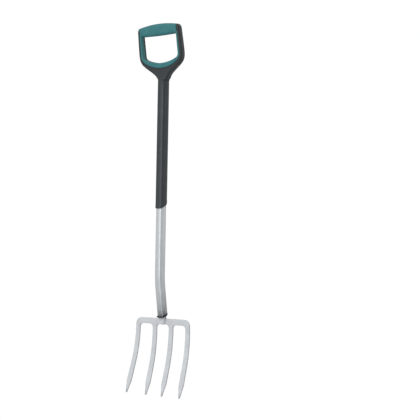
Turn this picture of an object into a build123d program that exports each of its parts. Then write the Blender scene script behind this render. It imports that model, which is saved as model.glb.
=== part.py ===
from build123d import *
import os
from math import cos, radians, sin, sqrt, tan

# A four-tine digging and aerating fork: a forged head on a bent steel shaft with a D-shaped handle.
# Millimetres. +Z runs up the straight upper shaft and +X across the head. The tines curve towards -Y,
# which is the front. The origin is on the upper shaft's axis, level with the points of the inner tines.

# --- Shaft tube: a rounded triangle, with a crowned front between two ridges and a round back ---
RIDGE_HALF = 9.8
RIDGE_Y = -13.6
FRONT_CROWN = 1.6
RIDGE_RADIUS = 2.6
BACK_HALF = 17.8
BACK_Y = 17.6
BACK_RADIUS = 13.6
TUBE_WALL = 1.5
TUBE_TOP = 990.0
# Spare length given to a blank or a bore, beyond the face that cuts it off.
SPARE = 30.0
BEND_Z = 356.0
BEND_ANGLE = 10.2
BEND_RADIUS = 300.0

# --- Shaft sleeve, whose lower end is cut to the underside of a ball ---
SLEEVE_WALL = 2.3
SLEEVE_END_Y = -22.95
SLEEVE_END_Z = 582.4

# --- Tube end plug, whose lip is the ring between shaft and head, curved like a ball above and below ---
BALL_RADIUS = 48.0
LIP_UNDER_Y = 2.3
LIP_UNDER_Z = 239.07
LIP_OVER_Y = -0.75
LIP_OVER_Z = 242.6
LIP_PROUD = 2.8
PLUG_LENGTH = 85.0
FIT_CLEARANCE = 0.1
FOOT_GAP = 0.4

# --- Head: crossbar and tines ---
BAR_TOP = 236.8
BAR_HEIGHT = 19.0
BAR_CORNER = 20.0
ROOT_FILLET = 11.0
SNAP = 0.5
HEAD_THICK = 7.5
TIP_THICK = 4.6
BELOW_TIP = 6.0
TIP_WIDTH = 4.6
TIP_CORNER = 1.4
TINE_WIDTH = 15.2
TINE_WIDE = 16.6
TAPER_Z = 37.0
INNER_ROOT_X = 30.6
INNER_TIP_X = 29.6
OUTER_ROOT_X = 92.2
OUTER_TIP_X = 98.3
OUTER_TIP_Z = 2.0
# Side profile of a tine: front-to-back place of its middle at the root, where the bend starts,
# the bend's radius and its angle. Below the bend the tine is straight.
INNER_PROFILE = (24.3, 204.0, 400.0, 19.0)
OUTER_PROFILE = (22.2, 206.0, 340.0, 19.8)
INNER_REACH = 45.0
OUTER_REACH = 78.0

# --- Tang, which joins the head to the shaft ---
TANG_RADIUS = 7.0
TANG_POINT_RADIUS = 4.5
TANG_LENGTH = 105.0
TANG_OFFSET = 2.5
TONGUE_HALF = 10.4
TONGUE_THICK = 7.6
TONGUE_BOTTOM = 219.0
TONGUE_CORNER = 7.5
TONGUE_EDGE = 2.6
WELD_RADIUS = 1.9
WELD_EDGE = 1.5
WELD_END_GAP = 0.5

# --- Fasteners ---
RIVET_RADIUS = 2.9
RIVET_HEAD_RADIUS = 5.2
RIVET_HEAD_HEIGHT = 2.4
RIVET_HEAD_EDGE = 1.9
RIVET_UP = 48.0
SCREW_RADIUS = 2.0
SCREW_HEAD_RADIUS = 4.0
SCREW_HEAD_HEIGHT = 1.9
SCREW_HEAD_EDGE = 1.1
SCREW_HEAD_GAP = 0.4
SLOT_LENGTH = 4.4
SLOT_WIDTH = 0.9
SLOT_DEPTH = 0.9
SCREW_LENGTH = 6.0
SCREW_HEIGHTS = (930.0, 962.0)
HOLE_CLEARANCE = 0.08

# --- Handle: everything above the pivot leans forward with the plane of the D ---
PIVOT_Z = 1015.8
LEAN = 11.8
CHEEK_HALF = 80.4
# The sides slope in from their widest level to the shoulders, where the crown's arc ends.
WIDE_HALF = 81.0
WIDE_W = 58.0
SHOULDER_HALF = 76.9
SHOULDER_RADIUS = 11.0
CROWN_RADIUS = 340.0
GRIP_TOP_W = 153.6
GRIP_HALF = 71.0
GRIP_UNDER_W = 116.0
UNDER_RISE = 2.0
GRIP_DEPTH = 27.0
GRIP_EDGE = 10.5
CORE_HEIGHT = 18.0
CORE_DEPTH = 13.0
CORE_EDGE = 4.0
BAR_DEPTH = 24.0
OPENING_HALF = 65.5
OPENING_BOTTOM_W = 31.5
OPENING_SIDE_W = 47.5
OPENING_RADIUS = 14.0
OPENING_TOP_RADIUS = 4.0
LINER_HALF = 70.5
LINER_BOTTOM_W = 15.7
LINER_SIDE_W = 45.0
LINER_RADIUS = 26.0
LINER_BACK = 4.0
LINER_RISE = 14.0
GRIP_SEAT = 8.5
OPENING_RISE = 12.0
SPIGOT_LENGTH = 85.0
SPIGOT_WALL = 4.0
# Sections of the handle frame: height up the D, half width, half depth, corner radius.
# The first run flares smoothly out of the neck, and the second rises straight to the shoulders.
FLARE_SECTIONS = (
    (-14.0, 21.5, 16.6, 12.0),
    (-4.0, 31.0, 15.0, 11.5),
    (6.0, 43.5, 13.6, 10.5),
    (17.0, 58.2, 12.6, 9.0),
    (29.0, 71.0, 12.1, 7.5),
    (42.0, 78.1, 12.0, 7.0),
    (58.0, CHEEK_HALF, 12.0, 7.0),
)
CHEEK_SECTIONS = (
    (58.0, CHEEK_HALF, 12.0, 7.0),
    (100.0, 79.2, 12.0, 7.0),
    (160.0, 76.4, 12.0, 7.0),
)
NECK_FRONT_HALF = 11.3
NECK_BACK_HALF = 20.3
NECK_FRONT_RADIUS = 4.5
NECK_BACK_RADIUS = 15.7


def shaft_section(grow=0.0):
    """The shaft's outline, grown outwards by an even amount, or shrunk when grow is negative."""
    left = (-RIDGE_HALF, RIDGE_Y)
    right = (RIDGE_HALF, RIDGE_Y)
    front = ThreePointArc(left, (0, RIDGE_Y - FRONT_CROWN), right)
    rest = Polyline(right, (BACK_HALF, BACK_Y), (-BACK_HALF, BACK_Y), left)
    section = make_face(front + rest)
    if grow:
        section = offset(section, amount=grow, kind=Kind.INTERSECTION)
    section = fillet(section.vertices().group_by(Axis.Y)[-1], BACK_RADIUS + grow)
    if RIDGE_RADIUS + grow > 0:
        section = fillet(section.vertices().group_by(Axis.Y)[0], RIDGE_RADIUS + grow)
    return section


def lower_axis_y(z):
    """How far the lower shaft's axis lies behind the upper shaft's axis at height z."""
    return (BEND_Z - z) * tan(radians(BEND_ANGLE))


def lower_plane(up):
    """Plane square to the lower shaft, at a distance up its axis from the level of the crossbar's top."""
    turn = radians(BEND_ANGLE)
    axis = Vector(0, -sin(turn), cos(turn))
    foot = Vector(0, lower_axis_y(BAR_TOP), BAR_TOP)
    return Plane(origin=foot + axis * up, x_dir=(1, 0, 0), z_dir=axis)


def ball_nose(middle_y, lowest_z, grow=0.0):
    """Upright round bar with a ball-shaped lower end. Its underside is what the shaft's pieces end on."""
    radius = BALL_RADIUS + grow
    halfway = radius * sin(radians(45))
    bowl = ThreePointArc((0, -radius), (halfway, -halfway), (radius, 0))
    rest = Polyline((radius, 0), (radius, TUBE_TOP), (0, TUBE_TOP), (0, -radius))
    nose = revolve(Plane.XZ * make_face(bowl + rest), axis=Axis.Z)
    return Pos(0, middle_y, lowest_z + BALL_RADIUS) * nose


def above_lip():
    """Space above the lip's upper face."""
    return ball_nose(LIP_OVER_Y, LIP_OVER_Z)


def above_plug(gap=0.0):
    """Space above the plug's underside, less a gap."""
    return ball_nose(LIP_UNDER_Y, LIP_UNDER_Z, gap)


def handle_front(forward=0.0):
    """Plane of the D, facing forward: x across, y up the D."""
    turn = radians(LEAN)
    plane = Plane(origin=(0, 0, PIVOT_Z), x_dir=(1, 0, 0), z_dir=(0, -cos(turn), -sin(turn)))
    return plane.offset(forward)


def handle_level(up):
    """Plane across the D at a height up it: x across, y to the back."""
    turn = radians(LEAN)
    axis = Vector(0, -sin(turn), cos(turn))
    return Plane(origin=Vector(0, 0, PIVOT_Z) + axis * up, x_dir=(1, 0, 0), z_dir=axis)


def shaft_run(grow):
    """The whole bent shaft as a solid bar, standing on the lip's upper face."""
    tangent = BEND_RADIUS * tan(radians(BEND_ANGLE) / 2)
    bend_start = Plane.XY.offset(BEND_Z + tangent) * shaft_section(grow)
    upper = extrude(bend_start, amount=TUBE_TOP - BEND_Z - tangent)
    bend_axis = Axis((0, BEND_RADIUS, BEND_Z + tangent), (1, 0, 0))
    bend = revolve(bend_start, axis=bend_axis, revolution_arc=BEND_ANGLE)
    bend_up = (BEND_Z - BAR_TOP) / cos(radians(BEND_ANGLE)) - tangent
    lower = lower_column(grow, -SPARE, bend_up)
    return (upper + bend + lower) & above_lip()


def lower_column(grow, low, high):
    """A straight piece of the lower shaft's outline between two distances up its axis."""
    return extrude(lower_plane(low) * shaft_section(grow), amount=high - low)


def rivet_hole(radius):
    """Bore for the rivet, from behind the tube to the far side of the tang."""
    start = lower_plane(RIVET_UP) * Pos(0, TANG_OFFSET - TANG_RADIUS, 0) * Rot(-90, 0, 0)
    return start * Cylinder(radius, SPARE, align=(Align.CENTER, Align.CENTER, Align.MIN))


def screw_bores(radius, start_y=0.0):
    """Bores for the two handle screws, from start_y out through the back of the shaft."""
    bore = Cylinder(radius, SPARE, align=(Align.CENTER, Align.CENTER, Align.MIN))
    return [Pos(0, start_y, height) * Rot(-90, 0, 0) * bore for height in SCREW_HEIGHTS]


def make_shaft_tube():
    tube = shaft_run(0) - shaft_run(-TUBE_WALL)
    tube -= rivet_hole(RIVET_RADIUS + HOLE_CLEARANCE)
    for bore in screw_bores(SCREW_RADIUS + HOLE_CLEARANCE):
        tube -= bore
    return tube


def make_shaft_sleeve():
    outline = shaft_section(SLEEVE_WALL) - shaft_section(0)
    low = SLEEVE_END_Z - SPARE
    sleeve = extrude(Plane.XY.offset(low) * outline, amount=TUBE_TOP - low)
    sleeve &= ball_nose(SLEEVE_END_Y, SLEEVE_END_Z)
    for bore in screw_bores(SCREW_HEAD_RADIUS + SCREW_HEAD_GAP):
        sleeve -= bore
    return sleeve


def make_tube_end_plug():
    lip = lower_column(LIP_PROUD, -SPARE, 2 * SPARE) - above_lip()
    body = lower_column(-TUBE_WALL - FIT_CLEARANCE, -SPARE, PLUG_LENGTH)
    plug = (lip + body) & above_plug()
    plug -= tang_shank(HOLE_CLEARANCE)
    plug -= rivet_hole(RIVET_RADIUS + HOLE_CLEARANCE)
    return plug


def tang_shank(grow=0.0):
    """Round spike up the middle of the lower shaft, tapering over its upper half."""
    straight = TANG_LENGTH / 2
    base = lower_plane(-SPARE) * Pos(0, TANG_OFFSET, 0)
    length = SPARE + straight
    shank = base * Cylinder(TANG_RADIUS + grow, length, align=(Align.CENTER, Align.CENTER, Align.MIN))
    upper = lower_plane(straight) * Pos(0, TANG_OFFSET, 0)
    taper = Cone(TANG_RADIUS + grow, TANG_POINT_RADIUS + grow, TANG_LENGTH - straight,
                 align=(Align.CENTER, Align.CENTER, Align.MIN))
    return shank + upper * taper


def bar_front_y():
    return INNER_PROFILE[0] - HEAD_THICK / 2


def tongue_outline(grow=0.0):
    """Front view of the tang's tongue: a tab with round lower corners."""
    top = BAR_TOP + SPARE
    middle = (top + TONGUE_BOTTOM) / 2
    tab = Pos(0, middle) * Rectangle(2 * TONGUE_HALF, top - TONGUE_BOTTOM)
    tab = fillet(tab.vertices().group_by(Axis.Y)[0], TONGUE_CORNER)
    if grow:
        tab = offset(tab, amount=grow)
    return tab


def make_head_tang():
    shank = split(tang_shank(), bisect_by=Plane.XY.offset(BAR_TOP), keep=Keep.TOP)
    front = Plane(origin=(0, bar_front_y(), 0), x_dir=(1, 0, 0), z_dir=(0, -1, 0))
    tongue = extrude(front * tongue_outline(), amount=TONGUE_THICK)
    tongue = fillet(tongue.faces().sort_by(Axis.Y)[0].edges(), TONGUE_EDGE)
    block = Box(2 * TONGUE_HALF, HEAD_THICK, SPARE, align=(Align.CENTER, Align.MIN, Align.MIN))
    bridge = Pos(0, bar_front_y(), BAR_TOP) * block
    foot = tongue + bridge - above_plug(FOOT_GAP)
    tang = shank + foot
    return tang - rivet_hole(RIVET_RADIUS + HOLE_CLEARANCE)


def make_tang_weld(tang, head):
    """Bead of weld metal around the tongue's sides and round end, on the crossbar's front."""
    front = Plane(origin=(0, bar_front_y(), 0), x_dir=(1, 0, 0), z_dir=(0, -1, 0))
    bead = extrude(front * tongue_outline(WELD_RADIUS), amount=WELD_RADIUS)
    bead = fillet(bead.faces().sort_by(Axis.Y)[0].edges(), WELD_EDGE)
    bead = split(bead, bisect_by=Plane.XY.offset(BAR_TOP - WELD_END_GAP), keep=Keep.BOTTOM)
    return bead - tang - head


def tine_outline(side, root_x, tip_x, tip_z):
    """Front view of one tine, from inside the crossbar to its blunt point."""
    root_half = TINE_WIDTH / 2
    wide_half = TINE_WIDE / 2
    tip_half = TIP_WIDTH / 2
    taper_z = tip_z + TAPER_Z
    taper_x = tip_x + (root_x - tip_x) * taper_z / BAR_TOP
    points = (
        (side * (root_x + root_half), BAR_TOP),
        (side * (taper_x + wide_half), taper_z),
        (side * (tip_x + tip_half), tip_z),
        (side * (tip_x - tip_half), tip_z),
        (side * (taper_x - wide_half), taper_z),
        (side * (root_x - root_half), BAR_TOP),
    )
    outline = make_face(Polyline(*points, close=True))
    tip_corners = outline.vertices().group_by(Axis.Y)[0]
    return fillet(tip_corners, TIP_CORNER)


def head_outline():
    """Front view of the whole head, with round shoulders and filleted tine roots."""
    outline = Pos(0, BAR_TOP - BAR_HEIGHT / 2) * Rectangle(2 * OUTER_ROOT_X, BAR_HEIGHT)
    for side in (-1, 1):
        outline += tine_outline(side, INNER_ROOT_X, INNER_TIP_X, 0)
        outline += tine_outline(side, OUTER_ROOT_X, OUTER_TIP_X, OUTER_TIP_Z)
    level = BAR_TOP - BAR_HEIGHT
    roots = outline.vertices().filter_by_position(Axis.Y, level - SNAP, level + SNAP)
    outline = fillet(roots, ROOT_FILLET)
    top = outline.vertices().group_by(Axis.Y)[-1].sort_by(Axis.X)
    return fillet([top[0], top[-1]], BAR_CORNER)


def tine_profile(profile):
    """Side view of the forged thickness: straight at the bar, one bend, then straight to a thinner tip."""
    middle_y, bend_z, radius, angle = profile
    turn = radians(angle)
    half = HEAD_THICK / 2
    tip_half = TIP_THICK / 2
    top = BAR_TOP + SPARE

    def on_bend(share, shift):
        """Point on the bend at a share of its angle, shifted to the front when shift is positive."""
        part = turn * share
        reach = radius - shift
        return (middle_y - radius + reach * cos(part), bend_z - reach * sin(part))

    def on_straight(drop, shift):
        """Point below the bend, a distance down its axis, shifted to the front when shift is positive."""
        y, z = on_bend(1, 0)
        return (y - drop * sin(turn) - shift * cos(turn), z - drop * cos(turn) + shift * sin(turn))

    end_z = on_bend(1, 0)[1]
    to_taper = (end_z - TAPER_Z) / cos(turn)
    to_tip = (end_z + BELOW_TIP) / cos(turn)
    front = [
        Line((middle_y - half, top), on_bend(0, half)),
        ThreePointArc(on_bend(0, half), on_bend(0.5, half), on_bend(1, half)),
        Polyline(on_bend(1, half), on_straight(to_taper, half), on_straight(to_tip, tip_half)),
    ]
    tip = [Line(on_straight(to_tip, tip_half), on_straight(to_tip, -tip_half))]
    back = [
        Polyline(on_straight(to_tip, -tip_half), on_straight(to_taper, -half), on_bend(1, -half)),
        ThreePointArc(on_bend(1, -half), on_bend(0.5, -half), on_bend(0, -half)),
        Line(on_bend(0, -half), (middle_y + half, top)),
    ]
    lid = [Line((middle_y + half, top), (middle_y - half, top))]
    return make_face(Curve() + front + tip + back + lid)


def make_fork_head():
    side_view = Plane.YZ
    inner = extrude(side_view.offset(-INNER_REACH) * tine_profile(INNER_PROFILE), amount=2 * INNER_REACH)
    blank = inner
    for side in (-1, 1):
        near = side_view.offset(side * INNER_REACH) * tine_profile(INNER_PROFILE)
        far = side_view.offset(side * OUTER_REACH) * tine_profile(OUTER_PROFILE)
        blank += loft([near, far], ruled=True)
        blank += extrude(far, amount=side * SPARE)
    outline = extrude(Plane.XZ * head_outline(), amount=3 * SPARE, both=True)
    return blank & outline


def make_tang_rivet():
    place = lower_plane(RIVET_UP) * Pos(0, BACK_Y, 0) * Rot(-90, 0, 0)
    length = BACK_Y - TANG_OFFSET + TANG_RADIUS
    shank = Cylinder(RIVET_RADIUS, length, align=(Align.CENTER, Align.CENTER, Align.MAX))
    head = Cylinder(RIVET_HEAD_RADIUS, RIVET_HEAD_HEIGHT, align=(Align.CENTER, Align.CENTER, Align.MIN))
    head = fillet(head.edges().group_by(Axis.Z)[-1], RIVET_HEAD_EDGE)
    return place * (shank + head)


def make_handle_screws():
    screws = []
    for height in SCREW_HEIGHTS:
        place = Pos(0, BACK_Y, height) * Rot(-90, 0, 0)
        shank = Cylinder(SCREW_RADIUS, SCREW_LENGTH, align=(Align.CENTER, Align.CENTER, Align.MAX))
        head = Cylinder(SCREW_HEAD_RADIUS, SCREW_HEAD_HEIGHT, align=(Align.CENTER, Align.CENTER, Align.MIN))
        head = fillet(head.edges().group_by(Axis.Z)[-1], SCREW_HEAD_EDGE)
        slot = Box(SLOT_LENGTH, SLOT_WIDTH, SPARE, align=(Align.CENTER, Align.CENTER, Align.MIN))
        for turn in (0, 90):
            head -= Pos(0, 0, SCREW_HEAD_HEIGHT - SLOT_DEPTH) * Rot(0, 0, turn) * slot
        screws.append(place * (shank + head))
    return Compound(children=screws)


def crown_w(across):
    """Height up the D of the crown's arc, at a distance from the middle."""
    return GRIP_TOP_W - CROWN_RADIUS + sqrt(CROWN_RADIUS ** 2 - across ** 2)


def flare_section(up, half_width, half_depth, radius):
    block = RectangleRounded(2 * half_width, 2 * half_depth, radius)
    return handle_level(up) * block


def neck_section():
    """The frame's foot: the sleeve's outline drawn with straight sides."""
    front_y = RIDGE_Y - FRONT_CROWN - SLEEVE_WALL
    back_y = BACK_Y + SLEEVE_WALL
    corners = ((-NECK_FRONT_HALF, front_y), (NECK_FRONT_HALF, front_y),
               (NECK_BACK_HALF, back_y), (-NECK_BACK_HALF, back_y))
    section = make_face(Polyline(*corners, close=True))
    section = fillet(section.vertices().group_by(Axis.Y)[0], NECK_FRONT_RADIUS)
    section = fillet(section.vertices().group_by(Axis.Y)[-1], NECK_BACK_RADIUS)
    return Plane.XY.offset(TUBE_TOP) * section


def opening_outline(rise=0.0):
    """Front view of the opening for the hand, with its top raised by an amount."""
    side = OPENING_HALF
    bottom = ThreePointArc((-side, OPENING_SIDE_W), (0, OPENING_BOTTOM_W), (side, OPENING_SIDE_W))
    middle_w = GRIP_UNDER_W + rise
    top_w = middle_w + UNDER_RISE
    top = ThreePointArc((side, top_w), (0, middle_w), (-side, top_w))
    sides = [Line((side, OPENING_SIDE_W), (side, top_w)), Line((-side, top_w), (-side, OPENING_SIDE_W))]
    outline = make_face(Curve() + [bottom, top] + sides)
    outline = fillet(outline.vertices().group_by(Axis.Y)[0], OPENING_RADIUS)
    return fillet(outline.vertices().group_by(Axis.Y)[-1], OPENING_TOP_RADIUS)


def liner_outline():
    """Front view of the soft liner's outer edge, around the opening and up into the grip bar."""
    side = LINER_HALF
    top_w = GRIP_UNDER_W + LINER_RISE
    bottom = ThreePointArc((-side, LINER_SIDE_W), (0, LINER_BOTTOM_W), (side, LINER_SIDE_W))
    rest = Polyline((side, LINER_SIDE_W), (side, top_w), (-side, top_w), (-side, LINER_SIDE_W))
    outline = make_face(bottom + rest)
    return fillet(outline.vertices().group_by(Axis.Y)[0], LINER_RADIUS)


def grip_outline():
    """Front view of the soft grip bar between the cheeks."""
    side = GRIP_HALF
    low = GRIP_UNDER_W + UNDER_RISE
    high = crown_w(side)
    under = ThreePointArc((-side, low), (0, GRIP_UNDER_W), (side, low))
    crown = ThreePointArc((side, high), (0, GRIP_TOP_W), (-side, high))
    ends = [Line((side, low), (side, high)), Line((-side, high), (-side, low))]
    return make_face(Curve() + [under, crown] + ends)


def grip_bar():
    """The round soft bar, before the frame's own bar is taken out of it."""
    bar = extrude(handle_front() * grip_outline(), amount=GRIP_DEPTH / 2, both=True)
    return fillet(bar.edges().filter_by(GeomType.CIRCLE), GRIP_EDGE)


def grip_core():
    """The frame's own bar, buried in the soft grip."""
    middle = (GRIP_UNDER_W + GRIP_TOP_W) / 2
    bar = Box(2 * GRIP_HALF, CORE_HEIGHT, CORE_DEPTH)
    bar = fillet(bar.edges().filter_by(Axis.X), CORE_EDGE)
    return handle_front() * Pos(0, middle, 0) * bar


def frame_blank():
    """Paddle-shaped body of the handle frame, before the opening is cut."""
    flare = loft([neck_section()] + [flare_section(*row) for row in FLARE_SECTIONS])
    cheeks = loft([flare_section(*row) for row in CHEEK_SECTIONS], ruled=True)
    return (flare + cheeks) & extrude(handle_front() * top_outline(), amount=2 * SPARE, both=True)


def top_outline():
    """Front view of the space that the frame fills: its crown, rounded shoulders and sloping sides."""
    high = crown_w(SHOULDER_HALF)
    side, low = WIDE_HALF, -2 * SPARE
    crown = ThreePointArc((SHOULDER_HALF, high), (0, GRIP_TOP_W), (-SHOULDER_HALF, high))
    walls = Polyline((-SHOULDER_HALF, high), (-side, WIDE_W), (-side, low),
                     (side, low), (side, WIDE_W), (SHOULDER_HALF, high))
    outline = make_face(crown + walls)
    return fillet(outline.vertices().group_by(Axis.Y)[-1], SHOULDER_RADIUS)


def make_handle_frame():
    frame = frame_blank()
    frame -= extrude(handle_front() * opening_outline(OPENING_RISE), amount=SPARE, both=True)
    liner_space = liner_outline() - opening_outline()
    frame -= extrude(handle_front(-LINER_BACK) * liner_space, amount=SPARE)
    frame -= grip_bar()
    seat = Pos(0, GRIP_UNDER_W + GRIP_SEAT)
    grip_space = seat * Rectangle(2 * GRIP_HALF, 2 * SPARE, align=(Align.CENTER, Align.MIN))
    frame -= extrude(handle_front() * grip_space, amount=SPARE, both=True)
    frame += grip_core()
    spigot = shaft_section(-TUBE_WALL - FIT_CLEARANCE)
    spigot -= shaft_section(-TUBE_WALL - FIT_CLEARANCE - SPIGOT_WALL)
    frame += extrude(Plane.XY.offset(TUBE_TOP - SPIGOT_LENGTH) * spigot, amount=SPIGOT_LENGTH)
    for bore in screw_bores(SCREW_RADIUS + HOLE_CLEARANCE):
        frame -= bore
    return frame


def make_soft_grip():
    liner = extrude(handle_front(-LINER_BACK) * (liner_outline() - opening_outline()),
                    amount=LINER_BACK + BAR_DEPTH / 2)
    return grip_bar() + liner - grip_core()


def main():
    head = make_fork_head()
    tang = make_head_tang()
    parts = {
        "fork_head": head,
        "head_tang": tang,
        "tang_weld": make_tang_weld(tang, head),
        "tang_rivet": make_tang_rivet(),
        "tube_end_plug": make_tube_end_plug(),
        "shaft_tube": make_shaft_tube(),
        "shaft_sleeve": make_shaft_sleeve(),
        "handle_frame": make_handle_frame(),
        "handle_screws": make_handle_screws(),
        "soft_grip": make_soft_grip(),
    }
    os.makedirs("parts", exist_ok=True)
    for name, solid in parts.items():
        export_step(solid, f"parts/{name}.step")


main()
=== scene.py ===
import math

import bpy
import numpy as np
from mathutils import Matrix, Vector


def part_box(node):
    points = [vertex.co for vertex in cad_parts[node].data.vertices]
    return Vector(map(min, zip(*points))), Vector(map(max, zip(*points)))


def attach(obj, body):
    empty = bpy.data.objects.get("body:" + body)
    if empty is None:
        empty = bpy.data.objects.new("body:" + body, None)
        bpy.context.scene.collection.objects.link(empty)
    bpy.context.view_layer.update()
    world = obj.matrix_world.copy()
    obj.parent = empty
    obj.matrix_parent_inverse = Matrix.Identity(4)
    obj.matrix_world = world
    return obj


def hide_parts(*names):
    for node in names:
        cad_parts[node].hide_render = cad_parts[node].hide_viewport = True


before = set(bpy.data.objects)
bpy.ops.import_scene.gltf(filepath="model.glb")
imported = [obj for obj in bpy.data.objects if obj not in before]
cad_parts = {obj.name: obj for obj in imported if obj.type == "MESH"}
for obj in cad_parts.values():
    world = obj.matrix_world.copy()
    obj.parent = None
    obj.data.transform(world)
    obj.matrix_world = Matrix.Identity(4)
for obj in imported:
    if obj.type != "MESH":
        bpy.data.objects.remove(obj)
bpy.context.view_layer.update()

# A four-tine digging and aerating fork. Shapes are worked out in millimetres in the frame's own axes
# (+Z up the upper shaft, +X across, front towards -Y) and turned into metres when a mesh is written.
MM = 0.001


def box_mm(node):
    """Lowest and highest corner of a CAD node in millimetres."""
    return [np.array(corner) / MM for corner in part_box(node)]


HEAD_LOW, HEAD_HIGH = box_mm("fork_head")
TUBE_LOW, TUBE_HIGH = box_mm("shaft_tube")
SLEEVE_LOW, SLEEVE_HIGH = box_mm("shaft_sleeve")

# --- Shaft section: a rounded triangle with a crowned front between two ridges and a round back ---
RIDGE_HALF = 9.8
RIDGE_Y = -13.6
FRONT_CROWN = 1.6
RIDGE_RADIUS = 2.2
BACK_HALF = 17.8
BACK_Y = 17.6
BACK_RADIUS = 13.6
TUBE_WALL = 1.5
BEND_Z = 356.0
BEND_ANGLE = math.radians(10.2)
BEND_RADIUS = 300.0
SLEEVE_WALL = 2.3
SLEEVE_FRONT_Z = SLEEVE_LOW[2]
SLEEVE_TOP = SLEEVE_HIGH[2]

# --- The sleeve and the plug's lip end on balls. Each is given as its centre's y and its lowest z. ---
BALL_RADIUS = 48.0
SLEEVE_END = (-22.95, 582.4)
LIP_UNDER = (2.3, 239.07)
LIP_OVER = (-0.75, 242.6)
LIP_PROUD = 2.8
LIP_FADE = 2.3
PLUG_LENGTH = 85.0
FIT_GAP = 0.03

# --- Head ---
BAR_TOP = HEAD_HIGH[2]
BAR_HEIGHT = 19.0
BAR_CORNER = 20.0
ROOT_FILLET = 11.0
HEAD_THICK = 7.5
TIP_THICK = 4.6
TIP_WIDTH = 4.6
TINE_WIDTH = 15.2
TINE_WIDE = 16.6
TAPER_HEIGHT = 37.0
# Each tine: x at the root, x at the tip, height of the tip.
INNER_TINE = (30.6, 29.6, 0.0)
OUTER_TINE = (92.2, 98.3, 2.0)
# Side profile: front-to-back place at the root, height where the bend starts, its radius and its angle.
INNER_PROFILE = (24.3, 204.0, 400.0, math.radians(19.0))
OUTER_PROFILE = (22.2, 206.0, 340.0, math.radians(19.8))
INNER_REACH = 45.0
OUTER_REACH = 78.0
BAR_FRONT = INNER_PROFILE[0] - HEAD_THICK / 2

# --- Tang and its rivet ---
TANG_RADIUS = 7.0
TANG_POINT_RADIUS = 4.5
TANG_LENGTH = 105.0
TANG_OFFSET = 2.5
TONGUE_HALF = 10.4
TONGUE_THICK = 6.0
TONGUE_BOTTOM = 219.0
TONGUE_CORNER = 7.5
FOOT_GAP = 0.4
RIVET_UP = 48.0
RIVET_RADIUS = 5.2
RIVET_HEIGHT = 2.4

# --- Handle screws ---
SCREW_RADIUS = 4.0
SCREW_HEIGHT = 1.9
SCREW_BORE = 4.4
SCREW_LEVELS = (930.0, 962.0)

# --- Handle: u runs across, v to the back and w up the plane of the D, which leans forward ---
PIVOT_Z = 1015.8
LEAN = math.radians(11.8)
GRIP_TOP_W = 153.55
CROWN_RADIUS = 340.0
SHOULDER_RADIUS = 11.0
GRIP_HALF = 68.5
GRIP_UNDER_W = 116.0
UNDER_RADIUS = 1260.0
GRIP_SEAT_W = 124.5
GRIP_DEPTH = 27.0
GRIP_EDGE = 10.5
OPENING_HALF = 65.5
OPENING_BOTTOM_W = 31.5
OPENING_SIDE_W = 47.5
OPENING_RADIUS = 14.0
LINER_HALF = 70.5
LINER_LOW_HALF = 73.5
LINER_BOTTOM_W = 15.7
LINER_SIDE_W = 45.0
LINER_RADIUS = 26.0
LINER_BACK = 4.0
NECK_DROP = 28.0
NECK_BLEND = 14.0
CORE_HEIGHT = 18.0
CORE_DEPTH = 13.0
# The frame's outline up the D: height, half width, half depth and the radius of its long edges.
FRAME_LEVELS = np.array((
    (-22.0, 18.4, 17.4, 9.0),
    (-14.0, 20.8, 16.6, 9.0),
    (-4.0, 29.5, 15.0, 8.0),
    (6.0, 42.3, 13.6, 7.0),
    (17.0, 57.6, 12.6, 6.2),
    (29.0, 71.0, 12.1, 5.6),
    (42.0, 78.1, 12.0, 5.4),
    (58.0, 80.4, 12.0, 5.4),
    (78.0, 80.1, 12.0, 5.4),
    (100.0, 79.2, 12.0, 5.4),
    (160.0, 76.4, 12.0, 5.4),
))


# ---------------------------------------------------------------- distance fields

def meet(a, b, radius):
    """What lies inside both fields, with the edge between them rounded."""
    a, b = a + radius, b + radius
    outside = np.hypot(np.maximum(a, 0), np.maximum(b, 0))
    return outside + np.minimum(np.maximum(a, b), 0) - radius


def join(a, b, blend):
    """What lies inside either field, with a smooth fillet between them."""
    near = np.clip(0.5 + 0.5 * (b - a) / blend, 0, 1)
    return b + (a - b) * near - blend * near * (1 - near)


def rounded_outline(corners, steps=8):
    """Points of a closed outline whose corners are given as (x, y, radius)."""
    points = []
    for i, (x, y, radius) in enumerate(corners):
        here = np.array((x, y), float)
        back = np.array(corners[i - 1][:2]) - here
        ahead = np.array(corners[(i + 1) % len(corners)][:2]) - here
        back /= np.linalg.norm(back)
        ahead /= np.linalg.norm(ahead)
        half = math.acos(back @ ahead) / 2
        middle = (back + ahead) / np.linalg.norm(back + ahead)
        centre = here + middle * radius / math.sin(half)
        start = here + back * radius / math.tan(half) - centre
        end = here + ahead * radius / math.tan(half) - centre
        turn = math.pi - 2 * half
        for share in np.linspace(0, 1, steps):
            arm = start * math.sin((1 - share) * turn) + end * math.sin(share * turn)
            points.append(centre + arm / math.sin(turn))
    return np.array(points)


def outline_distance(outline, x, y):
    """Signed distance in the plane to a closed outline, negative inside it."""
    nearest = np.inf
    inside = False
    for (ax, ay), (bx, by) in zip(outline, np.roll(outline, -1, axis=0)):
        ex, ey = bx - ax, by - ay
        along = np.clip(((x - ax) * ex + (y - ay) * ey) / (ex * ex + ey * ey), 0, 1)
        nearest = np.minimum(nearest, (x - ax - along * ex) ** 2 + (y - ay - along * ey) ** 2)
        if ay != by:
            crosses = (ay > y) != (by > y)
            inside = inside ^ (crosses & (x < ax + ex * (y - ay) / ey))
    return np.where(inside, -1, 1) * np.sqrt(nearest)


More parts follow.
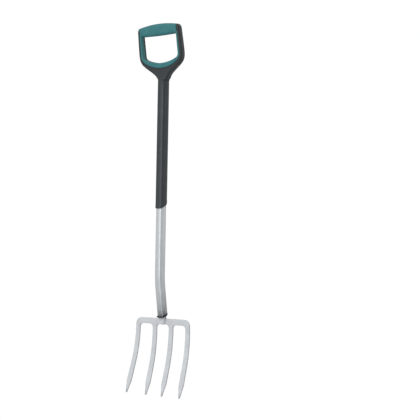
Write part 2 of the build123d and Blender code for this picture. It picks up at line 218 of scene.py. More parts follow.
def smooth_curve(levels, values, at):
    """Cubic curve through values at their levels, held at its end values beyond them."""
    slopes = np.gradient(values, levels)
    i = np.clip(np.searchsorted(levels, at) - 1, 0, len(levels) - 2)
    width = levels[i + 1] - levels[i]
    t = np.clip((at - levels[i]) / width, 0, 1)
    rise = values[i + 1] - values[i]
    start_bow = (slopes[i] * width - rise) * (1 - t)
    end_bow = (slopes[i + 1] * width - rise) * t
    return values[i] + rise * t + (1 - t) * t * (start_bow - end_bow)


# ---------------------------------------------------------------- meshes

def surface_net(values, low, cell):
    """Vertices and quads round the negative part of a grid of values."""
    solid = values < 0
    corners = [(i, j, k) for i in (0, 1) for j in (0, 1) for k in (0, 1)]
    shape = [n - 1 for n in values.shape]
    filled = np.zeros(shape, np.int8)
    for i, j, k in corners:
        filled += solid[i:i + shape[0], j:j + shape[1], k:k + shape[2]]
    cells = np.argwhere((filled > 0) & (filled < len(corners)))
    total = np.zeros((len(cells), 3))
    count = np.zeros(len(cells))
    for start in corners:
        for axis in range(3):
            if start[axis]:
                continue
            step = np.eye(3, dtype=int)[axis]
            a = values[tuple((cells + start).T)]
            b = values[tuple((cells + start + step).T)]
            crosses = (a < 0) != (b < 0)
            share = np.where(crosses, a / np.where(crosses, a - b, 1), 0)
            total += np.where(crosses[:, None], start + step * share[:, None], 0)
            count += crosses
    index = np.full(shape, -1)
    index[tuple(cells.T)] = np.arange(len(cells))
    quads = [face_quads(solid, index, axis) for axis in range(3)]
    return low + (cells + total / count[:, None]) * cell, np.concatenate(quads)


def face_quads(solid, index, axis):
    """Quads across the grid edges that run along one axis and cross the surface."""
    second, third = (axis + 1) % 3, (axis + 2) % 3
    turned = np.moveaxis(solid, (axis, second, third), (0, 1, 2))
    cells = np.moveaxis(index, (axis, second, third), (0, 1, 2))
    i, j, k = np.nonzero(turned[:-1] != turned[1:])
    ring = [cells[i, j - 1, k - 1], cells[i, j, k - 1], cells[i, j, k], cells[i, j - 1, k]]
    quads = np.stack(ring, axis=1)
    outward = turned[i, j, k]
    return np.where(outward[:, None], quads, quads[:, ::-1])


def field_slope(field, points, here):
    """Gradient of a field at points where its values are known."""
    reach = 0.02
    slopes = [field(*(points + shift).T) - here for shift in np.eye(3) * reach]
    return np.stack(slopes, axis=1) / reach


def settle(field, points, limit):
    """Points moved onto the field's surface, each step no longer than the limit, and their normals."""
    for step in range(4):
        here = field(*points.T)
        slope = field_slope(field, points, here)
        if step == 3:
            break
        steep = np.maximum((slope ** 2).sum(axis=1), 0.05)
        move = slope * (here / steep)[:, None]
        length = np.linalg.norm(move, axis=1, keepdims=True)
        points = points - move * np.minimum(1, limit / np.maximum(length, 1e-9))
    return points, slope / np.maximum(np.linalg.norm(slope, axis=1, keepdims=True), 1e-9)


def skin(name, field, low, high, cell, place=lambda x, y, z: (x, y, z)):
    """A mesh object on a field's surface. The box is in grid axes, which place turns into frame axes."""
    low = np.array(low, float)
    axes = [np.arange(a, b + cell, cell) for a, b in zip(low, high)]
    grid = np.meshgrid(*axes, indexing="ij", sparse=True)
    shape = [len(axis) for axis in axes]
    values = np.array(np.broadcast_to(field(*place(*grid)), shape))
    points, quads = surface_net(values, low, cell)
    points = np.stack(place(*points.T), axis=1)
    points, normals = settle(field, points, cell / 2)
    return mesh_object(name, points, quads, normals)


def mesh_object(name, points, faces, normals=None):
    """A smooth mesh object from points in millimetres."""
    mesh = bpy.data.meshes.new(name)
    mesh.from_pydata((points * MM).tolist(), [], [list(map(int, face)) for face in faces])
    mesh.shade_smooth()
    if normals is not None:
        mesh.normals_split_custom_set_from_vertices(normals.tolist())
    made = bpy.data.objects.new(name, mesh)
    bpy.context.scene.collection.objects.link(made)
    return made


def ring_skin(name, rings):
    """A closed skin over rings of points, the last ring joined back to the first."""
    count = len(rings[0])
    faces = []
    for i in range(len(rings)):
        a, b = i * count, (i + 1) % len(rings) * count
        for j in range(count):
            k = (j + 1) % count
            faces.append((a + j, a + k, b + k, b + j))
    return mesh_object(name, np.concatenate(rings), faces)


# ---------------------------------------------------------------- shaft

def shaft_arcs():
    """Arcs of the section's right half as (centre, radius, first and last angle of the normal).

    The angle is measured from straight forward towards the right."""
    side = np.array((BACK_Y - RIDGE_Y, RIDGE_HALF - BACK_HALF))
    side /= np.linalg.norm(side)
    tilt = math.atan2(side[0], -side[1])
    crown_radius = (RIDGE_HALF ** 2 + FRONT_CROWN ** 2) / (2 * FRONT_CROWN)
    crown_y = RIDGE_Y - FRONT_CROWN + crown_radius
    reach = crown_radius - RIDGE_RADIUS
    level = side @ (RIDGE_HALF, RIDGE_Y) - RIDGE_RADIUS - side[1] * crown_y
    turn = math.asin(level / reach) - math.atan2(-side[1], side[0])
    ridge = (reach * math.sin(turn), crown_y - reach * math.cos(turn))
    back_y = BACK_Y - BACK_RADIUS
    back_x = (side @ (BACK_HALF, BACK_Y) - BACK_RADIUS - side[1] * back_y) / side[0]
    return (
        ((0, crown_y), crown_radius, 0, turn),
        (ridge, RIDGE_RADIUS, turn, tilt),
        ((back_x, back_y), BACK_RADIUS, tilt, math.pi),
    )


def shaft_ring():
    """Centres, radii and normals all the way round the shaft's section."""
    rows = []
    for (x, y), radius, first, last in shaft_arcs():
        for angle in np.linspace(first, last, 12):
            rows.append((x, y, radius, math.sin(angle), -math.cos(angle)))
    right = np.array(rows)
    left = right[:0:-1] * (-1, 1, 1, -1, 1)
    ring = np.concatenate((right, left))
    return ring[:, :2], ring[:, 2], ring[:, 3:]


RING_CENTRES, RING_RADII, RING_NORMALS = shaft_ring()


def section(grow):
    """The shaft's outline grown by an amount."""
    return RING_CENTRES + (RING_RADII + grow)[:, None] * RING_NORMALS


def section_distance(x, y):
    """Signed distance from the shaft's outline."""
    farthest = -np.inf
    for (cx, cy), radius, (nx, ny) in zip(RING_CENTRES, RING_RADII, RING_NORMALS):
        farthest = np.maximum(farthest, nx * (x - cx) + ny * (y - cy) - radius)
    return farthest


def inside_ball(ball, x, y, z):
    """Depth inside a ball that runs on upwards from its centre as a round column."""
    middle_y, lowest_z = ball
    below = np.minimum(z - lowest_z - BALL_RADIUS, 0)
    return BALL_RADIUS - np.sqrt(x ** 2 + (y - middle_y) ** 2 + below ** 2)


def drop_to_ball(ball, points, axis):
    """Points slid along an axis onto the underside of a ball."""
    arm = points - (0, ball[0], ball[1] + BALL_RADIUS)
    along = arm @ axis
    gap = (arm ** 2).sum(axis=1) - BALL_RADIUS ** 2
    return points - np.outer(along + np.sqrt(along ** 2 - gap), axis)


def lower_foot():
    """Point of the lower shaft's axis level with the crossbar's top."""
    return (BEND_Z - BAR_TOP) * math.tan(BEND_ANGLE), BAR_TOP


def lower_place(y, up):
    """Frame y and z of a point of the lower shaft, y back from its axis and up along it."""
    foot_y, foot_z = lower_foot()
    return (foot_y + y * math.cos(BEND_ANGLE) - up * math.sin(BEND_ANGLE),
            foot_z + y * math.sin(BEND_ANGLE) + up * math.cos(BEND_ANGLE))


def lower_local(y, z):
    """The reverse of lower_place."""
    foot_y, foot_z = lower_foot()
    return ((y - foot_y) * math.cos(BEND_ANGLE) + (z - foot_z) * math.sin(BEND_ANGLE),
            (z - foot_z) * math.cos(BEND_ANGLE) - (y - foot_y) * math.sin(BEND_ANGLE))


def lip_ring(grow):
    """Ring of the lower shaft's outline where it stands on the lip."""
    outline = section(grow)
    ring = np.column_stack((outline[:, 0], *lower_place(outline[:, 1], 0)))
    axis = np.array((0, -math.sin(BEND_ANGLE), math.cos(BEND_ANGLE)))
    return drop_to_ball(LIP_OVER, ring, axis) + axis * FIT_GAP


def bend_ring(grow, angle):
    """Ring of the shaft's outline part way round the bend."""
    outline = section(grow)
    arm = BEND_RADIUS - outline[:, 1]
    top = BEND_Z + BEND_RADIUS * math.tan(BEND_ANGLE / 2)
    return np.column_stack((outline[:, 0], BEND_RADIUS - arm * math.cos(angle), top - arm * math.sin(angle)))


def level_ring(grow, z):
    outline = section(grow)
    return np.column_stack((outline, np.full(len(outline), z)))


def end_ring(grow, above):
    """Ring of the upper shaft's outline at a height above the sleeve's ball-shaped end."""
    ring = drop_to_ball(SLEEVE_END, level_ring(grow, SLEEVE_END[1]), np.array((0, 0, 1)))
    return ring + (0, 0, above)


def make_tube():
    """Bent tube, from the plug's lip up into the handle."""
    def wall(grow):
        rings = [lip_ring(grow)]
        rings += [bend_ring(grow, angle) for angle in np.linspace(BEND_ANGLE, 0, 17)]
        rings += [level_ring(grow, z) for z in np.linspace(BEND_Z + 60, TUBE_HIGH[2] - 1, 12)]
        return rings
    return ring_skin("shaft", wall(0) + wall(-TUBE_WALL)[::-1])


def make_sleeve():
    """Moulded sleeve over the upper shaft, with a slightly thicker rounded rim."""
    rim = 0.5
    edge = 1.1
    bevel = 0.4
    rings = [end_ring(FIT_GAP, 30), end_ring(FIT_GAP, bevel), end_ring(FIT_GAP + bevel, 0)]
    for angle in np.linspace(0, math.pi / 2, 7):
        grow = SLEEVE_WALL + rim - edge * (1 - math.sin(angle))
        rings.append(end_ring(grow, edge * (1 - math.cos(angle))))
    for above in np.linspace(3, 15, 7):
        share = (above - 3) / 12
        rings.append(end_ring(SLEEVE_WALL + rim * (1 + math.cos(math.pi * share)) / 2, above))
    rings += [level_ring(SLEEVE_WALL, z) for z in np.linspace(SLEEVE_FRONT_Z + 60, SLEEVE_TOP - 0.35, 12)]
    rings += [level_ring(SLEEVE_WALL - 0.3, SLEEVE_TOP - 0.02), level_ring(FIT_GAP, SLEEVE_TOP - 0.02)]
    rings.append(level_ring(FIT_GAP, SLEEVE_FRONT_Z + 80))
    sleeve = ring_skin("sleeve", rings)
    cut_bores(sleeve)
    return sleeve


def cut_bores(sleeve):
    """Recesses for the two screw heads through the sleeve's back."""
    for level in SCREW_LEVELS:
        bpy.ops.mesh.primitive_cylinder_add(
            vertices=48, radius=SCREW_BORE * MM, depth=20 * MM,
            location=(0, (BACK_Y + 2) * MM, level * MM), rotation=(math.pi / 2, 0, 0))
        cutter = bpy.context.object
        boolean = sleeve.modifiers.new("bore", "BOOLEAN")
        boolean.object = cutter
        boolean.solver = "EXACT"
        apply_modifiers(sleeve)
        bpy.data.objects.remove(cutter)


def apply_modifiers(made):
    graph = bpy.context.evaluated_depsgraph_get()
    mesh = bpy.data.meshes.new_from_object(made.evaluated_get(graph), depsgraph=graph)
    made.modifiers.clear()
    made.data = mesh


def plug_field(x, y, z):
    """End plug: a lip across the tube's curved end and a body up inside it, round the tang."""
    local_y, up = lower_local(y, z)
    outline = section_distance(x, local_y)
    below = -inside_ball(LIP_UNDER, x, y, z)
    faces = np.maximum(below, inside_ball(LIP_OVER, x, y, z))
    proud = LIP_PROUD - LIP_FADE * np.clip((local_y - 3) / 6, 0, 1)
    lip = meet(outline - proud, faces, 1.5)
    body = np.maximum(outline + TUBE_WALL + 0.1, np.maximum(below, up - PLUG_LENGTH))
    hole = np.hypot(x, local_y - TANG_OFFSET) - TANG_RADIUS - 0.1
    return np.maximum(np.minimum(lip, body), -hole)


def make_plug():
    return skin("end_plug", plug_field, (-22.5, -14, 234), (22.5, 45, 327), 0.7)


# ---------------------------------------------------------------- head

def tine_edge(tine, side, z):
    """x of one edge of a tine at a height; side is 1 for the edge away from the middle."""
    root_x, tip_x, tip_z = tine
    taper_z = tip_z + TAPER_HEIGHT
    taper_x = tip_x + (root_x - tip_x) * taper_z / BAR_TOP + side * TINE_WIDE / 2
    root_edge = root_x + side * TINE_WIDTH / 2
    return taper_x + (root_edge - taper_x) * (z - taper_z) / (BAR_TOP - taper_z)


def tine_corners(tine):
    """Corners down a tine's outer edge, round its tip and up its inner edge."""
    tip_x, tip_z = tine[1:]
    taper_z = tip_z + TAPER_HEIGHT
    under = BAR_TOP - BAR_HEIGHT
    corners = []
    for side in (1, -1):
        edge = [
            (tine_edge(tine, side, under), under, ROOT_FILLET),
            (tine_edge(tine, side, taper_z), taper_z, 18.0),
            (tip_x + side * TIP_WIDTH / 2, tip_z, 1.6),
        ]
        corners += edge[::side]
    return corners


def head_outline():
    """Front view of the head, clockwise from its right shoulder."""
    right = tine_corners(OUTER_TINE) + tine_corners(INNER_TINE)
    right[0] = (OUTER_TINE[0] + TINE_WIDTH / 2, BAR_TOP, BAR_CORNER)
    left = [(-x, z, radius) for x, z, radius in right[::-1]]
    return rounded_outline(right + left)


HEAD_OUTLINE = head_outline()


def bend_line(profile, z):
    """Front-to-back place of a tine's middle at a height, and how far it leans there."""
    middle, start, radius, angle = profile
    drop = np.clip(start - z, 0, radius * math.sin(angle))
    lean = np.arcsin(drop / radius)
    straight = np.maximum(start - z - drop, 0)
    return middle - radius * (1 - np.cos(lean)) - straight * math.tan(angle), lean


def head_middle(x, z):
    """Front-to-back place and lean of the head's mid-surface."""
    share = np.clip((np.abs(x) - INNER_REACH) / (OUTER_REACH - INNER_REACH), 0, 1)
    inner_y, inner_lean = bend_line(INNER_PROFILE, z)
    outer_y, outer_lean = bend_line(OUTER_PROFILE, z)
    return inner_y + (outer_y - inner_y) * share, inner_lean + (outer_lean - inner_lean) * share


def head_field(x, y, z):
    """Forged plate bent to the tines' profile, a little thicker along the middle of each bar."""
    middle, lean = head_middle(x, z)
    edge = outline_distance(HEAD_OUTLINE, x, z)
    thin = np.clip((TAPER_HEIGHT - z) / (TAPER_HEIGHT + 6), 0, 1)
    half = (HEAD_THICK + (TIP_THICK - HEAD_THICK) * thin) / 2
    camber = 0.5 * np.clip(1 + edge / 6.5, 0, 1) ** 2
    return meet(edge, np.abs(y - middle) * np.cos(lean) - half + camber, 1.5)


def head_place(x, depth, z):
    middle, lean = head_middle(x, z)
    return x, middle + depth / np.cos(lean), z


def make_head():
    reach = HEAD_HIGH[0] + 2
    return skin("forged_head", head_field, (-reach, -6, -2), (reach, 6, BAR_TOP + 2), 1.0, head_place)


def tongue_outline():
    top = BAR_TOP + 30
    return rounded_outline([
        (TONGUE_HALF, top, 1), (TONGUE_HALF, TONGUE_BOTTOM, TONGUE_CORNER),
        (-TONGUE_HALF, TONGUE_BOTTOM, TONGUE_CORNER), (-TONGUE_HALF, top, 1),
    ])


TONGUE_OUTLINE = tongue_outline()


def tang_field(x, y, z):
    """Tang: a tongue over the crossbar's front, a bridge over its top and a spike up into the plug."""
    local_y, up = lower_local(y, z)
    taper = np.clip(2 * up / TANG_LENGTH - 1, 0, 1)
    radius = TANG_RADIUS + (TANG_POINT_RADIUS - TANG_RADIUS) * taper
    shank = meet(np.hypot(x, local_y - TANG_OFFSET) - radius, up - TANG_LENGTH, 1.5)
    shank = np.maximum(shank, BAR_TOP - z)
    face = outline_distance(TONGUE_OUTLINE, x, z)
    middle_y = BAR_FRONT - TONGUE_THICK / 2
    front = meet(face, np.abs(y - middle_y) - TONGUE_THICK / 2, 2.4)
    bridge_y = np.abs(y - INNER_PROFILE[0]) - HEAD_THICK / 2
    bridge = np.maximum(meet(np.abs(x) - TONGUE_HALF, bridge_y, 2.0), BAR_TOP - z)
    foot = np.maximum(join(front, bridge, 0.8), inside_ball(LIP_UNDER, x, y, z) + FOOT_GAP)
    return join(shank, foot, 1.2)


def make_tang():
    return skin("tang", tang_field, (-12, -2, 217), (12, 33, 343), 0.7)


def weld_path():
    """Points along the edge of the tongue, spaced like the ripples of a weld."""
    outline = TONGUE_OUTLINE[TONGUE_OUTLINE[:, 1] < BAR_TOP + 5]
    start = (TONGUE_HALF, BAR_TOP - 1.5)
    end = (-TONGUE_HALF, BAR_TOP - 1.5)
    path = np.array([start, *outline, end])
    lengths = np.append(0, np.cumsum(np.linalg.norm(np.diff(path, axis=0), axis=1)))
    stops = np.arange(0, lengths[-1], 2.0)
    return np.column_stack([np.interp(stops, lengths, path[:, i]) for i in (0, 1)])


WELD_PATH = weld_path()


def weld_field(x, y, z):
    """Bead of overlapping drops along the tongue's edge."""
    bead = np.inf
    for i, (cx, cz) in enumerate(WELD_PATH):
        radius = 1.75 + 0.22 * math.sin(1.9 * i) + 0.12 * math.sin(4.3 * i)
        drop = np.sqrt((x - cx) ** 2 + (y - BAR_FRONT) ** 2 + (z - cz) ** 2) - radius
        bead = join(bead, drop, 0.5) if i else drop
    return np.maximum(bead, y - BAR_FRONT - 0.1)


def make_weld():
    low = (-TONGUE_HALF - 3, BAR_FRONT - 3, TONGUE_BOTTOM - 3)
    high = (TONGUE_HALF + 3, BAR_FRONT + 1, BAR_TOP + 2)
    return skin("weld_bead", weld_field, low, high, 0.4)


# ---------------------------------------------------------------- fasteners

def rivet_field(x, y, z):
    """Domed rivet head on the tube's back."""
    local_y, up = lower_local(y, z)
    round_wall = np.hypot(x, up - RIVET_UP) - RIVET_RADIUS
    depth = np.abs(local_y - BACK_Y + 1) - RIVET_HEIGHT - 1
    return meet(round_wall, depth, 2.0)


def make_rivet():
    y, z = lower_place(BACK_Y, RIVET_UP)
    middle = np.array((0, y, z))
    return skin("rivet", rivet_field, middle - 8, middle + 8, 0.35)


def screw_field(level):
    """Pan-head screw with a cross recess, set into the sleeve's back."""
    def field(x, y, z):
        across, along = np.abs(x), np.abs(z - level)
        head = meet(np.hypot(x, z - level) - SCREW_RADIUS, y - BACK_Y - SCREW_HEIGHT, 1.1)
        head = np.maximum(head, BACK_Y - 0.3 - y)
        slots = np.minimum(np.maximum(across - 2.2, along - 0.45), np.maximum(along - 2.2, across - 0.45))
        recess = np.maximum(slots, BACK_Y + SCREW_HEIGHT - 1.0 - y)
        return meet(head, -recess, 0.12)
    return field


def make_screws():
    made = []
    for count, level in enumerate(SCREW_LEVELS):
        low = (-5, BACK_Y - 1, level - 5)
        high = (5, BACK_Y + 3, level + 5)
        made.append(skin(f"handle_screw_{count + 1}", screw_field(level), low, high, 0.2))
    return made


# ---------------------------------------------------------------- handle

def handle_place(u, v, w):
    """Frame place of a point of the handle."""
    return u, v * math.cos(LEAN) - w * math.sin(LEAN), PIVOT_Z + v * math.sin(LEAN) + w * math.cos(LEAN)


def handle_local(y, z):
    """v and w of a point of the frame."""
    rise = z - PIVOT_Z
    return y * math.cos(LEAN) + rise * math.sin(LEAN), rise * math.cos(LEAN) - y * math.sin(LEAN)


def sag(u, radius):
    """How far an arc of a radius has left its tangent at u from the middle."""
    return radius - np.sqrt(radius ** 2 - u ** 2)


def crown(u):
    return GRIP_TOP_W - sag(u, CROWN_RADIUS)


def under(u):
    return GRIP_UNDER_W + sag(u, UNDER_RADIUS)


def bowl_outline(half, top_half, bottom, side, radius, top, top_radius):
    """Front view of a D-shaped ring's edge: an arched bottom, straight sides and a flat top."""
    arch_radius = (half ** 2 + (side - bottom) ** 2) / (2 * (side - bottom))
    reach = half - radius * 0.75
    us = [u for u in np.linspace(half, -half, 15) if abs(u) < reach]
    arch = [(u, bottom + sag(u, arch_radius), 0.5) for u in us]
    corners = [(top_half, top, top_radius), (half, side, radius)] + arch
    return rounded_outline(corners + [(-half, side, radius), (-top_half, top, top_radius)])


OPENING = bowl_outline(
    OPENING_HALF, OPENING_HALF, OPENING_BOTTOM_W, OPENING_SIDE_W, OPENING_RADIUS, GRIP_UNDER_W + 12, 4)
LINER = bowl_outline(
    LINER_LOW_HALF, LINER_HALF, LINER_BOTTOM_W, LINER_SIDE_W, LINER_RADIUS, GRIP_UNDER_W + 14, 2)


def frame_blank(x, y, z):
    """Body of the handle frame before its opening: a paddle that grows out of the sleeve's outline."""
    v, w = handle_local(y, z)
    levels = FRAME_LEVELS[:, 0]
    half, depth, radius = [smooth_curve(levels, FRAME_LEVELS[:, i], w) for i in (1, 2, 3)]
    steepness = smooth_curve(levels, np.gradient(FRAME_LEVELS[:, 1], levels), w)
    side = (np.abs(x) - half) / np.sqrt(1 + steepness ** 2)
    plan = meet(side, w - crown(x), SHOULDER_RADIUS)
    paddle = meet(plan, np.abs(v) - depth, radius)
    neck = section_distance(x, y) - SLEEVE_WALL
    share = np.clip((w + NECK_DROP) / NECK_BLEND, 0, 1)
    share = share * share * (3 - 2 * share)
    return neck + (paddle - neck) * share


def grip_core(u, v, w):
    """The frame's own bar, buried in the soft grip."""
    bar = meet(np.abs(v) - CORE_DEPTH / 2, np.abs(w - (GRIP_UNDER_W + GRIP_TOP_W) / 2) - CORE_HEIGHT / 2, 4)
    return np.maximum(bar, np.abs(u) - GRIP_HALF - 1)


def grip_bar(u, v, w):
    """The round bar across the top of the D, endless to both sides."""
    middle = (crown(u) + under(u)) / 2
    half = (crown(u) - under(u)) / 2
    return meet(np.abs(v) - GRIP_DEPTH / 2, np.abs(w - middle) - half, GRIP_EDGE)


def handle_field(x, y, z):
    """Black handle frame: paddle less the opening, the liner's rebate and the grip's seat, plus its core."""
    v, w = handle_local(y, z)
    body = meet(frame_blank(x, y, z), -outline_distance(OPENING, x, w), 2.2)
    rebate = np.maximum(outline_distance(LINER, x, w), v - LINER_BACK)
    body = meet(body, -rebate, 0.5)
    seat = np.minimum(GRIP_SEAT_W - w, grip_bar(x, v, w) - 0.1)
    body = meet(body, -np.maximum(np.abs(x) - GRIP_HALF, seat), 0.5)
    body = np.maximum(body, SLEEVE_TOP + 0.02 - z)
    return np.minimum(body, grip_core(x, v, w))


def grip_field(x, y, z):
    """Soft grip: a round bar across the top of the D that runs on as a liner round its opening."""
    v, w = handle_local(y, z)
    bar = meet(grip_bar(x, v, w), np.abs(x) - GRIP_HALF + 0.12, 0.7)
    ring = np.maximum(outline_distance(LINER, x, w) + 0.12, -outline_distance(OPENING, x, w))
    ring = meet(ring, w - GRIP_UNDER_W - 10, 0.5)
    mid_v = (LINER_BACK - 12.4) / 2
    ring = meet(ring, np.abs(v - mid_v) - (LINER_BACK + 12.4) / 2 + 0.12, 1.6)
    return np.maximum(join(bar, ring, 3.0), -grip_core(x, v, w))


def make_handle():
    low = (-83, -26, -32)
    high = (83, 24, 154)
    return skin("handle_frame_shell", handle_field, low, high, 0.9, handle_place)


def make_grip():
    low = (-75, -16, 12)
    high = (75, 16, 154)
    return skin("grip_and_liner", grip_field, low, high, 0.9, handle_place)


# ---------------------------------------------------------------- materials

def linear(red, green, blue):
    """Linear colour from 8-bit screen values."""
    shares = np.array((red, green, blue)) / 255
    low = shares / 12.92
    high = ((shares + 0.055) / 1.055) ** 2.4
    return (*np.where(shares <= 0.04045, low, high).tolist(), 1.0)


class Finish:
    """A procedural material under construction. Patterns are placed in the frame's axes, in metres."""

    def __init__(self, name, color, roughness, metallic=0.0):
        self.material = bpy.data.materials.new(name)
        self.material.use_nodes = True
        self.tree = self.material.node_tree
        self.shader = self.tree.nodes["Principled BSDF"]
        self.shader.inputs["Base Color"].default_value = color
        self.shader.inputs["Roughness"].default_value = roughness
        self.shader.inputs["Metallic"].default_value = metallic
        self.place = self.node("ShaderNodeTexCoord").outputs["Object"]
        self.normal = None

    def node(self, kind, **inputs):
        made = self.tree.nodes.new(kind)
        for name, value in inputs.items():
            self.feed(made.inputs[name.replace("_", " ")], value)
        return made

    def feed(self, socket, value):
        if isinstance(value, bpy.types.NodeSocket):
            self.tree.links.new(value, socket)
        else:
            socket.default_value = value

    def noise(self, size_mm, detail=2.0, stretch=(1, 1, 1)):
        """Cloudy pattern with features about as large as given; stretch divides each axis's frequency."""
        scale = tuple(1 / s for s in stretch)
        mapping = self.node("ShaderNodeMapping", Vector=self.place, Scale=scale)
        pattern = self.node("ShaderNodeTexNoise", Vector=mapping.outputs[0], Scale=1 / (size_mm * MM), Detail=detail)
        return pattern.outputs[0]

    def cells(self, size_mm):
        """Pattern of small rounded cells."""
        pattern = self.node("ShaderNodeTexVoronoi", Vector=self.place, Scale=1 / (size_mm * MM))
        return pattern.outputs["Distance"]

    def spread(self, value, low, high, start=0.3, stop=0.7):
        """A pattern's middle range turned into values from low to high."""
        made = self.node("ShaderNodeMapRange", Value=value, From_Min=start, From_Max=stop, To_Min=low, To_Max=high)
        return made.outputs[0]

    def blend(self, share, first, second):
        made = self.tree.nodes.new("ShaderNodeMix")
        made.data_type = "RGBA"
        self.feed(made.inputs[0], share)
        self.feed(made.inputs[6], first)
        self.feed(made.inputs[7], second)
        return made.outputs[2]

    def color(self, value):
        self.feed(self.shader.inputs["Base Color"], value)

    def roughness(self, value):
        self.feed(self.shader.inputs["Roughness"], value)

    def bump(self, height, depth_mm, strength=1.0):
        """Adds a relief of the given depth on top of any before it."""
        made = self.node("ShaderNodeBump", Height=height, Distance=depth_mm * MM, Strength=strength)
        if self.normal:
            self.feed(made.inputs["Normal"], self.normal)
        self.normal = made.outputs[0]
        self.feed(self.shader.inputs["Normal"], self.normal)

    def height(self):
        """Height in the frame, in metres."""
        return self.node("ShaderNodeSeparateXYZ", Vector=self.place).outputs["Z"]


def coated_steel():
    """Satin silver coat over forged steel, a little duller at the points."""
    finish = Finish("coated_steel", linear(205, 208, 212), 0.5)
    cloud = finish.noise(35, 3)
    tone = finish.blend(finish.spread(cloud, 0, 1), linear(202, 205, 209), linear(212, 215, 219))
    at_tip = finish.spread(finish.height(), 1, 0, 0.0, 0.02)
    finish.color(finish.blend(at_tip, tone, linear(178, 181, 184)))
    finish.roughness(finish.spread(finish.noise(6, 4), 0.5, 0.6))
    finish.bump(finish.noise(26, 1), 0.12, 0.5)
    finish.bump(finish.noise(1.6, 2), 0.008)
    finish.bump(finish.cells(0.5), 0.004)
    return finish.material


def forged_steel():
    """Coated like the head, with rougher forging skin."""
    finish = Finish("forged_steel", linear(212, 215, 219), 0.46)
    tone = finish.blend(finish.spread(finish.noise(5, 4), 0, 1), linear(198, 201, 206), linear(222, 225, 229))
    finish.color(tone)
    finish.roughness(finish.spread(finish.noise(2.5, 3), 0.3, 0.5))
    finish.bump(finish.noise(6, 2), 0.3, 0.6)
    finish.bump(finish.noise(0.9, 3), 0.02)
    return finish.material


def weld_steel():
    """Painted-over weld metal with fine ripples."""
    finish = Finish("weld_steel", linear(190, 193, 197), 0.5)
    tone = finish.blend(finish.spread(finish.noise(3, 4), 0, 1), linear(172, 176, 182), linear(205, 208, 212))
    finish.color(tone)
    finish.roughness(finish.spread(finish.noise(1.5, 3), 0.35, 0.6))
    finish.bump(finish.noise(0.8, 3), 0.06)
    return finish.material


def galvanised_tube():
    """Drawn zinc-coated tube: fine lengthwise brushing and faint clouding."""
    finish = Finish("galvanised_tube", linear(200, 205, 208), 0.36, 0.5)
    streaks = finish.noise(0.8, 3, (1, 1, 90))
    clouds = finish.noise(14, 3, (1, 1, 4))
    tone = finish.blend(finish.spread(clouds, 0, 1), linear(202, 207, 210), linear(214, 218, 221))
    finish.color(finish.blend(finish.spread(streaks, 0, 0.3), tone, linear(186, 191, 195)))
    finish.roughness(finish.spread(streaks, 0.3, 0.44))
    finish.bump(streaks, 0.02)
    finish.bump(finish.noise(9, 2, (1, 1, 8)), 0.06)
    return finish.material


def fastener_steel():
    finish = Finish("fastener_steel", linear(176, 180, 184), 0.35, 0.9)
    tone = finish.blend(finish.spread(finish.noise(1.2, 3), 0, 1), linear(158, 162, 166), linear(190, 194, 198))
    finish.color(tone)
    finish.roughness(finish.spread(finish.noise(0.6, 3), 0.28, 0.5))
    finish.bump(finish.noise(0.4, 3), 0.02)
    return finish.material


def moulded_plastic(name, dark, light, low, high):
    """Hard plastic with an even spark-eroded grain and slight sheen changes."""
    finish = Finish(name, dark, low)
    finish.shader.inputs["Specular IOR Level"].default_value = 0.42
    finish.color(finish.blend(finish.spread(finish.noise(28, 4), 0, 1), dark, light))
    finish.roughness(finish.spread(finish.noise(9, 4), low, high))
    finish.bump(finish.cells(0.55), 0.035)
    finish.bump(finish.noise(0.35, 2), 0.02)
    return finish.material


def soft_teal():
    """Soft-touch rubber: matt, finely pebbled, with a faint bloom."""
    finish = Finish("soft_teal", linear(50, 114, 120), 0.62)
    tone = finish.blend(finish.spread(finish.noise(24, 3), 0, 1), linear(49, 114, 119), linear(58, 123, 127))
    finish.color(tone)
    finish.roughness(finish.spread(finish.noise(7, 3), 0.52, 0.68))
    finish.shader.inputs["Specular IOR Level"].default_value = 0.35
    finish.shader.inputs["Sheen Weight"].default_value = 0.05
    finish.shader.inputs["Sheen Roughness"].default_value = 0.5
    finish.bump(finish.cells(0.8), 0.05)
    finish.bump(finish.noise(0.3, 2), 0.02)
    return finish.material


def dress(pieces, node, finish):
    """Puts pieces in the place of a CAD node, with their finish."""
    for piece in pieces:
        piece.data.materials.clear()
        piece.data.materials.append(finish)
        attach(piece, "root")
        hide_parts(node)


def build_fork():
    dress([make_head()], "fork_head", coated_steel())
    dress([make_tang()], "head_tang", forged_steel())
    dress([make_weld()], "tang_weld", weld_steel())
    fastener = fastener_steel()
    dress([make_rivet()], "tang_rivet", fastener)
    dress(make_screws(), "handle_screws", fastener)
    nylon = moulded_plastic("black_nylon", linear(14, 16, 20), linear(19, 21, 26), 0.4, 0.55)
    dress([make_plug()], "tube_end_plug", nylon)
    dress([make_tube()], "shaft_tube", galvanised_tube())
    # Same black plastic as the handle frame, painted a shade lighter on the sleeve: painted light standing in for
    # the brighter light on its front.
    sleeve = moulded_plastic("sleeve_plastic", linear(47, 54, 57), linear(53, 60, 63), 0.4, 0.5)
    dress([make_sleeve()], "shaft_sleeve", sleeve)
    black = moulded_plastic("handle_plastic", linear(40, 46, 49), linear(46, 52, 55), 0.4, 0.5)
    dress([make_handle()], "handle_frame", black)
    dress([make_grip()], "soft_grip", soft_teal())


# ---------------------------------------------------------------- studio

CAMERA_PLACE = (1.4963, -2.2481, 0.4717)
CAMERA_TURN = math.radians(30.363)
CAMERA_PITCH = math.radians(2.338)
CAMERA_ROLL = math.radians(0.958)
CAMERA_LENS = 73.19
CAMERA_SENSOR = 36.0
FLOOR_HALF = 30.0


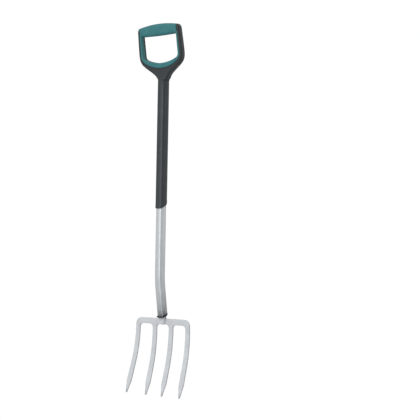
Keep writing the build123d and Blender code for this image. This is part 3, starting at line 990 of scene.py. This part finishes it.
def make_camera():
    camera = bpy.data.cameras.new("camera")
    camera.lens = CAMERA_LENS
    camera.sensor_width = CAMERA_SENSOR
    camera.clip_end = 100
    made = bpy.data.objects.new("camera", camera)
    bpy.context.scene.collection.objects.link(made)
    turn = Matrix.Rotation(CAMERA_TURN, 4, "Z")
    pitch = Matrix.Rotation(math.pi / 2 + CAMERA_PITCH, 4, "X")
    roll = Matrix.Rotation(CAMERA_ROLL, 4, "Z")
    made.matrix_world = Matrix.Translation(CAMERA_PLACE) @ turn @ pitch @ roll
    bpy.context.scene.camera = made


def make_floor():
    """Pale floor that looks evenly white and passes little light back up."""
    corners = [(-1, -1), (1, -1), (1, 1), (-1, 1)]
    points = np.array([(x * FLOOR_HALF, y * FLOOR_HALF, -0.0005) for x, y in corners]) / MM
    floor = mesh_object("floor", points, [(0, 1, 2, 3)])
    finish = Finish("floor_white", (0.62, 0.62, 0.62, 1), 0.9)
    tree = finish.tree
    seen = finish.node("ShaderNodeLightPath").outputs["Is Camera Ray"]
    white = finish.node("ShaderNodeEmission", Color=(1, 1, 1, 1), Strength=1.02)
    mixed = finish.node("ShaderNodeMixShader", Fac=seen)
    tree.links.new(finish.shader.outputs[0], mixed.inputs[1])
    tree.links.new(white.outputs[0], mixed.inputs[2])
    tree.links.new(mixed.outputs[0], tree.nodes["Material Output"].inputs["Surface"])
    floor.data.materials.append(finish.material)


def make_world():
    """White backdrop for the camera; for the object, soft light that is dimmest to the front right."""
    world = bpy.data.worlds.new("studio")
    world.use_nodes = True
    tree = world.node_tree
    tree.nodes.clear()
    new = tree.nodes.new
    link = tree.links.new
    place = new("ShaderNodeTexCoord")
    dim = new("ShaderNodeVectorMath")
    dim.operation = "DOT_PRODUCT"
    dim.inputs[1].default_value = Vector((0.9, -0.42, 0.0)).normalized()
    link(place.outputs["Generated"], dim.inputs[0])
    level = new("ShaderNodeMapRange")
    level.interpolation_type = "SMOOTHSTEP"
    for name, value in (("From Min", 0.5), ("From Max", 0.98), ("To Min", 0.74), ("To Max", 0.05)):
        level.inputs[name].default_value = value
    link(dim.outputs["Value"], level.inputs["Value"])
    soft = new("ShaderNodeBackground")
    soft.inputs["Color"].default_value = (1, 1, 1, 1)
    link(level.outputs[0], soft.inputs["Strength"])
    white = new("ShaderNodeBackground")
    white.inputs["Color"].default_value = (1, 1, 1, 1)
    white.inputs["Strength"].default_value = 1.02
    path = new("ShaderNodeLightPath")
    mixed = new("ShaderNodeMixShader")
    link(path.outputs["Is Camera Ray"], mixed.inputs[0])
    link(soft.outputs[0], mixed.inputs[1])
    link(white.outputs[0], mixed.inputs[2])
    link(mixed.outputs[0], new("ShaderNodeOutputWorld").inputs["Surface"])
    bpy.context.scene.world = world


def make_lamp(name, place, size, power):
    """Square soft light aimed at the middle of the object."""
    lamp = bpy.data.lights.new(name, "AREA")
    lamp.shape = "SQUARE"
    lamp.size = size
    lamp.energy = power
    made = bpy.data.objects.new(name, lamp)
    bpy.context.scene.collection.objects.link(made)
    made.location = place
    aim = Vector((0, 0, 0.55)) - Vector(place)
    made.rotation_mode = "QUATERNION"
    made.rotation_quaternion = aim.to_track_quat("-Z", "Y")


def make_studio():
    make_camera()
    make_floor()
    make_world()
    make_lamp("key", (0.3, -3.3, 1.7), 2.2, 54)
    make_lamp("fill", (2.4, 2.0, 1.0), 1.6, 5)
    view = bpy.context.scene.view_settings
    view.view_transform = "Standard"


build_fork()
make_studio()
